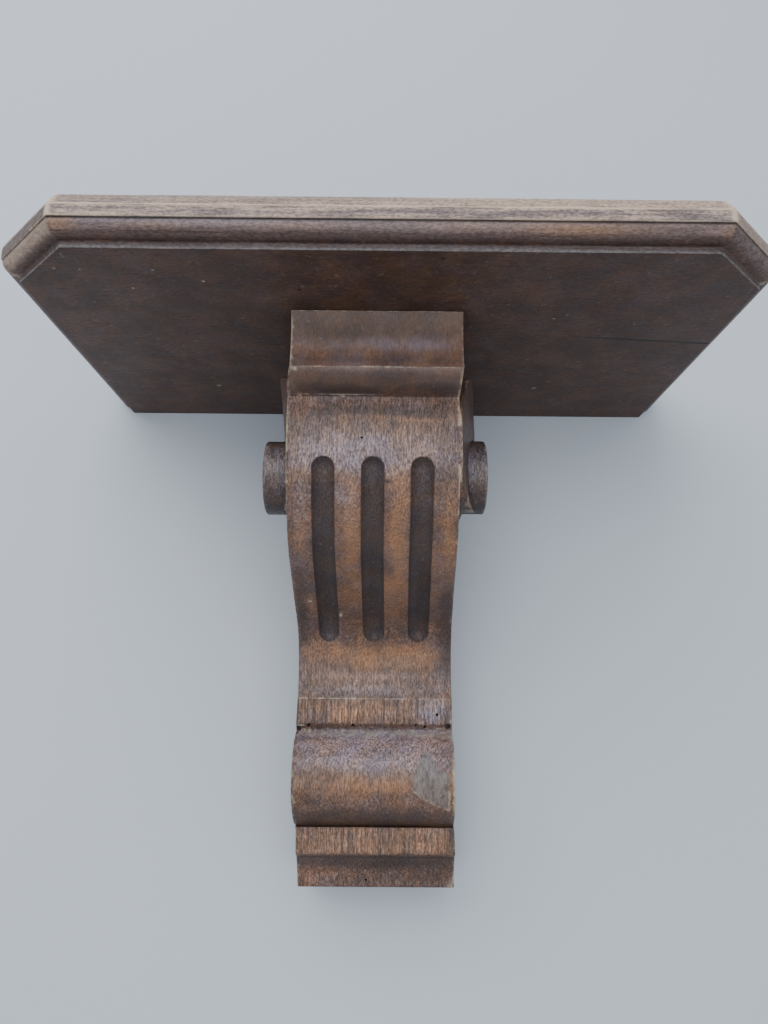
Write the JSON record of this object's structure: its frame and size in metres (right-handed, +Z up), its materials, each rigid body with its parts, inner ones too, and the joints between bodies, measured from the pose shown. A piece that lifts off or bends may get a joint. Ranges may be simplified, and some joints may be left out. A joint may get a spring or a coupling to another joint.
{
  "type": "wooden corbel bracket",
  "caption": "Wall bracket in dark varnished wood: a moulded shelf with clipped front corners on a scrolled, fluted corbel with turned side bosses.",
  "frame": {"origin": "on the wall plane, on the corbel's centre line at half the height of its flat back", "axes": "+Y into the wall, -Y to the front, +Z up, +X to the right as seen from the front"},
  "size_m": [0.4194, 0.2463, 0.3598],
  "materials": {
    "shelf_wood": "old dark brown varnish, satin, with worn light edges",
    "corbel_wood": "old brown varnish over coarse grain, satin, worn to orange brown on the raised parts",
    "boss_wood": "old dark brown varnish, satin"
  },
  "bodies": {
    "root": {"shelf_board": "shelf_wood", "corbel": "corbel_wood", "boss_left": "boss_wood", "boss_right": "boss_wood"}
  },
  "joints": []
}
